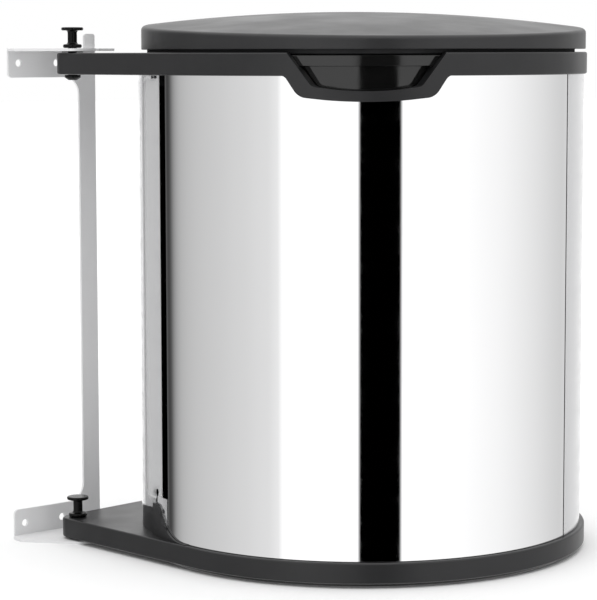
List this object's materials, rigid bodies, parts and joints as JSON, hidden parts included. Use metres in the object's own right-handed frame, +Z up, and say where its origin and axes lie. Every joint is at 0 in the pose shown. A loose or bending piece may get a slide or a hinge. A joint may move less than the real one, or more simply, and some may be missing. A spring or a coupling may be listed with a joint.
{
  "type": "swing-out cabinet waste bin",
  "caption": "Round built-in waste bin with a lifting lid, carried by arms that swing about a sheet-steel bracket on a cabinet's side wall.",
  "frame": {"origin": "on the wall face of the bracket's lower flange, level with the pivot axis and midway up the flange", "axes": "+X away from the cabinet's side wall, +Y into the cabinet, +Z up along the pivot axis"},
  "size_m": [0.3216, 0.3332, 0.3645],
  "materials": {
    "white_steel": "white powder coat",
    "pin_plastic": "semi-gloss black",
    "black_plastic": "satin black, fine grain",
    "polished_steel": "mirror-polished stainless steel",
    "coated_steel": "light grey, satin",
    "dark_screw": "blackened steel",
    "bucket_plastic": "glossy black",
    "rod_steel": "drawn steel rod",
    "lid_plastic": "matt dark grey, fine grain",
    "seal_rubber": "soft matt black"
  },
  "bodies": {
    "bracket": {"wall_bracket": "white_steel", "upper_pivot_pin": "pin_plastic", "lower_pivot_pin": "pin_plastic", "upper_pivot_collar": "pin_plastic", "lower_pivot_collar": "pin_plastic"},
    "bin": {"base_plate": "black_plastic", "top_ring": "black_plastic", "front_cover": "polished_steel", "rear_shell": "coated_steel", "seam_strip": "black_plastic", "hinge_side_pillar": "coated_steel", "pillar_rivet_rear": "dark_screw", "pillar_rivet_front": "dark_screw", "pillar_foot_screw": "dark_screw", "shell_screw_1": "dark_screw", "shell_screw_2": "dark_screw", "shell_screw_3": "dark_screw", "inner_bucket": "bucket_plastic", "lid_hinge_rod": "rod_steel"},
    "lid": {"lid_shell": "lid_plastic", "lid_seal": "seal_rubber"}
  },
  "joints": [
    {"name": "bin_swing", "type": "hinge", "parent": "bracket", "child": "bin", "pos_m": [0.036, 0, 0], "axis": [0, 0, -1], "range_deg": [0, 95]},
    {"name": "lid_hinge", "type": "hinge", "parent": "bin", "child": "lid", "pos_m": [0.04967, 0.25154, 0.3231], "axis": [-0.6704, -0.742, 0], "range_deg": [0, 80]}
  ]
}
